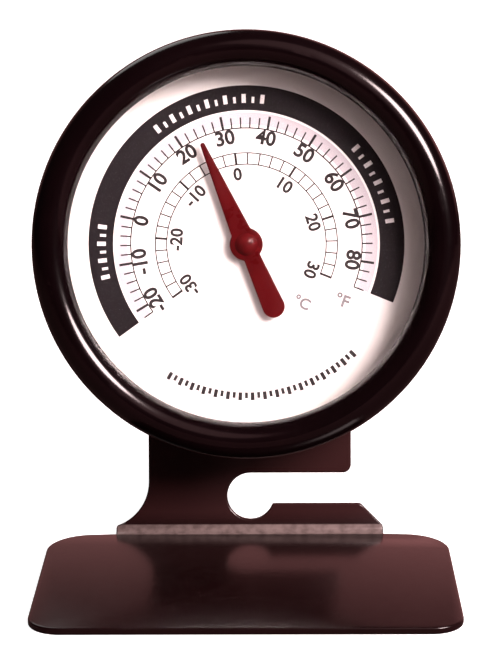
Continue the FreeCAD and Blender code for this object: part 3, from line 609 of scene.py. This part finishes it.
ladder_inner = 0.0113
ladder_outer = 0.0129
ladder_reach = 0.0001    # how far the long marks pass both lines
half_ladder_line = 0.00008
ladder_small_width = 0.00019
ladder_large_width = 0.00034
ladder = [
    arc_of_ink(radius - half_ladder_line, radius + half_ladder_line, celsius_angle(-30),
               celsius_angle(30))
    for radius in (ladder_inner, ladder_outer)]
ladder.append(repeated(
    bar_of_ink(ladder_small_width, ladder_inner, ladder_outer, celsius_angle(-30)),
    31, 2 * celsius_turn))
ladder.append(repeated(
    bar_of_ink(ladder_large_width, ladder_inner - ladder_reach, ladder_outer + ladder_reach,
               celsius_angle(-30)), 7, 10 * celsius_turn))
printed(joined(ladder), "celsius_marks", soft_black_ink)
inner_size = 0.0024
inner_radius = 0.00985
inner_figures = [
    numeral(str(reading), inner_size, inner_radius, celsius_angle(reading),
            celsius_angle(reading) - 90)
    for reading in range(-30, 31, 10)]
printed(joined(inner_figures), "celsius_numerals", soft_black_ink)
printed(numeral("°C", 0.0022, 0.0115, -47.0, -24.0), "celsius_sign", sign_ink)


# Dial printing, border: a fine broken line of black dashes along the foot of the dial, where
# it finishes the open part below the scales.

border_radius = 0.0217
border_height = 0.00115
border_start = 313.9
border_end = 239.6
border_count = 33
border_pitch = (border_start - border_end) / (border_count - 1)
border_low = border_radius - border_height / 2
border_high = border_radius + border_height / 2
border_short = border_radius + border_height / 4
long_dash_width = 0.00055
short_dash_width = 0.00045
long_dash = repeated(
    bar_of_ink(long_dash_width, border_low, border_high, border_start),
    border_count // 2 + 1, 2 * border_pitch)
short_dash = repeated(
    bar_of_ink(short_dash_width, border_low, border_short, border_start - border_pitch),
    border_count // 2, 2 * border_pitch)
printed(joined([long_dash, short_dash]), "dial_border", soft_black_ink)


# Pointer: stamped from 0.4 mm aluminium with a round middle and a paddle tail, and dipped in
# red lacquer, which is darker where it pools; its domed bush is pressed on the shaft's end.

pointer_red, red_tree, red_shader = finish(
    "pointer_red", Coat_Weight=0.08, Coat_Roughness=0.10, Specular_IOR_Level=0.12)
red_skin = placed(red_tree, coat_skin, Peel_Scale=2400.0, Drift_Scale=220.0)
red_tree.links.new(
    blended(red_tree, red_skin["Drift"], (0.052, 0.0010, 0.0017, 1.0), (0.063, 0.0015, 0.0024, 1.0)),
    red_shader.inputs["Base Color"])
red_tree.links.new(
    spread(red_tree, red_skin["Drift"], 0.0, 1.0, 0.26, 0.36), red_shader.inputs["Roughness"])
bumped(red_tree, red_shader, red_skin["Peel"], 0.000008)
softened(
    "pointer", "lacquered_pointer", "pointer_assembly", pointer_red, edge=0.00012)
dress("pointer_bush", pointer_red)


# Spacer ring: moulded in matt black plastic. It stands between dial and glass, holds the dial
# down on the case's shoulder and is just hidden by the bezel.

spacer_black, spacer_tree, spacer_shader = finish("spacer_black", Specular_IOR_Level=0.04)
spacer_skin = placed(spacer_tree, coat_skin, Peel_Scale=3200.0, Drift_Scale=120.0)
spacer_tree.links.new(
    blended(
        spacer_tree, spacer_skin["Drift"], (0.0050, 0.0040, 0.0044, 1.0), (0.0080, 0.0066, 0.0070, 1.0)),
    spacer_shader.inputs["Base Color"])
spacer_tree.links.new(
    spread(spacer_tree, spacer_skin["Peel"], 0.3, 0.7, 0.80, 0.95), spacer_shader.inputs["Roughness"])
bumped(spacer_tree, spacer_shader, spacer_skin["Peel"], 0.00001)
dress("spacer_ring", spacer_black)


# Gasket: a flat ring cut from grey-black silicone sheet, matt and faintly mottled.

gasket_rubber, rubber_tree, rubber_shader = finish("gasket_rubber", Specular_IOR_Level=0.25)
rubber_skin = placed(rubber_tree, coat_skin, Peel_Scale=1800.0, Drift_Scale=150.0)
rubber_tree.links.new(
    blended(
        rubber_tree, rubber_skin["Drift"], (0.026, 0.025, 0.025, 1.0), (0.040, 0.038, 0.037, 1.0)),
    rubber_shader.inputs["Base Color"])
rubber_tree.links.new(
    spread(rubber_tree, rubber_skin["Drift"], 0.0, 1.0, 0.72, 0.85), rubber_shader.inputs["Roughness"])
bumped(rubber_tree, rubber_shader, rubber_skin["Peel"], 0.00002)
dress("lens_gasket", gasket_rubber)


# Lens: a disc of clear glass, ground flat and clean, with the faint smears that wiping leaves.
# Lamps shine straight through it.

lens_glass, lens_tree, lens_shader = finish(
    "lens_glass", Base_Color=(0.97, 0.985, 0.98, 1.0), Metallic=0.0, Transmission_Weight=1.0, IOR=1.46)
smears = placed(lens_tree, coat_skin, Peel_Scale=300.0, Drift_Scale=45.0)
lens_tree.links.new(
    spread(lens_tree, smears["Drift"], 0.4, 1.0, 0.0, 0.012), lens_shader.inputs["Roughness"])
lamp_path = add(lens_tree, "LightPath")
clear = add(lens_tree, "BsdfTransparent", Color=(0.95, 0.96, 0.955, 1.0))
lets_lamps_through = add(lens_tree, "MixShader")
lens_tree.links.new(lamp_path.outputs["Is Shadow Ray"], lets_lamps_through.inputs[0])
lens_tree.links.new(lens_shader.outputs["BSDF"], lets_lamps_through.inputs[1])
lens_tree.links.new(clear.outputs["BSDF"], lets_lamps_through.inputs[2])
lens_tree.links.new(
    lets_lamps_through.outputs["Shader"], lens_tree.nodes["Material Output"].inputs["Surface"])
dress("lens", lens_glass)


# Bezel: a rolled steel ring with a full round front, crimped behind the case's flange and
# stoved in gloss black, which flows smooth over the curve.

bezel_enamel = enamel(
    "bezel_enamel", deep=(0.0026, 0.0008, 0.0012, 1.0), thin=(0.0040, 0.0013, 0.0018, 1.0), dust=0.003,
    gloss=(0.13, 0.18), peel_scale=700.0, peel_depth=0.000005, Specular_IOR_Level=0.4)
dress("bezel_ring", bezel_enamel)


# Studio: a pale paper floor and backdrop, a warm key lamp high on the right, a weak broad fill
# beside it and a weak lamp behind. Only the back wall is light, and the floor that the part
# itself sees is dark too, so that its enamel stays deep.

bpy.ops.object.select_all(action="DESELECT")
bpy.ops.mesh.primitive_plane_add(size=6.0, location=(0, 0, 0))
floor = bpy.context.object
floor.name = "paper_floor"
paper, paper_tree, paper_shader = finish("white_paper", Roughness=0.9, Specular_IOR_Level=0.2)
paper_place = add(paper_tree, "TexCoord").outputs["Object"]
fibre = add(paper_tree, "TexNoise", Vector=paper_place, Scale=500.0, Detail=4.0)
paper_tree.links.new(
    blended(paper_tree, fibre.outputs["Fac"], (0.88, 0.88, 0.875, 1.0), (0.91, 0.91, 0.905, 1.0)),
    paper_shader.inputs["Base Color"])
paper_shader.inputs["Emission Color"].default_value = (0.97, 1.0, 1.0, 1.0)
paper_shader.inputs["Emission Strength"].default_value = 0.93
seen_by_part = add(paper_tree, "BsdfDiffuse", Color=(0.11, 0.065, 0.065, 1.0))
seen_directly = add(paper_tree, "MixShader")
paper_tree.links.new(add(paper_tree, "LightPath").outputs["Is Camera Ray"], seen_directly.inputs[0])
paper_tree.links.new(seen_by_part.outputs["BSDF"], seen_directly.inputs[1])
paper_tree.links.new(paper_shader.outputs["BSDF"], seen_directly.inputs[2])
paper_tree.links.new(
    seen_directly.outputs["Shader"], paper_tree.nodes["Material Output"].inputs["Surface"])
floor.data.materials.append(paper)


def lamp(name, direction, distance, size, power, colour):
    """A round soft lamp at a distance from the dial in a direction, facing it."""
    data = bpy.data.lights.new(name, "AREA")
    data.shape = "DISK"
    data.size = size
    data.energy = power
    data.color = colour
    made = bpy.data.objects.new(name, data)
    bpy.context.collection.objects.link(made)
    way = Vector(direction).normalized()
    made.location = pivot + way * distance
    made.rotation_euler = way.to_track_quat("Z", "Y").to_euler()
    return made


lamp("key_lamp", direction=(0.600, -0.606, 0.522), distance=0.9, size=0.40, power=17.5,
     colour=(1.0, 0.79, 0.79))
lamp("fill_lamp", direction=(0.308, -0.684, 0.662), distance=1.2, size=1.0, power=1.6,
     colour=(1.0, 0.52, 0.53))
lamp("back_lamp", direction=(-0.35, 0.60, 0.72), distance=1.2, size=0.7, power=2.5,
     colour=(1.0, 0.97, 0.95))

surround = bpy.data.worlds.new("studio")
surround.use_nodes = True
walls = surround.node_tree
wall_way = add(walls, "SeparateXYZ", Vector=add(walls, "TexCoord").outputs["Generated"]).outputs
back_wall = times(
    walls, spread(walls, wall_way["Y"], 0.35, 0.9), spread(walls, wall_way["Z"], 0.75, 0.25))
dim = blended(
    walls, spread(walls, wall_way["Z"], 0.2, 0.9), (0.026, 0.014, 0.015, 1.0),
    (0.045, 0.024, 0.026, 1.0))
wall_tone = blended(
    walls, spread(walls, wall_way["X"], -0.3, 0.4), (0.36, 0.155, 0.150, 1.0), (1.10, 0.42, 0.42, 1.0))
room = blended(walls, back_wall, dim, wall_tone)
seen_by_camera = add(walls, "LightPath").outputs["Is Camera Ray"]
backdrop = blended(walls, seen_by_camera, room, (1.0, 0.995, 0.99, 1.0))
walls.links.new(backdrop, walls.nodes["Background"].inputs["Color"])
walls.nodes["Background"].inputs["Strength"].default_value = 1.0
bpy.context.scene.world = surround
bpy.context.scene.view_settings.view_transform = "Standard"


# Camera: a long lens, a little above the dial and square to it.

camera_data = bpy.data.cameras.new("camera")
camera_data.lens = 126.6
camera_data.clip_start = 0.01
camera_data.clip_end = 20.0
camera = bpy.data.objects.new("camera", camera_data)
bpy.context.collection.objects.link(camera)
camera_right = Vector((0.999931, 0.010080, -0.005979))
camera_up = Vector((0.003320, 0.245626, 0.969359))
camera_back = Vector((0.011240, -0.969312, 0.245575))
camera_turn = Matrix((camera_right, camera_up, camera_back)).transposed().to_4x4()
camera.matrix_world = Matrix.Translation((0.004137, -0.300291, 0.112871)) @ camera_turn
bpy.context.scene.camera = camera
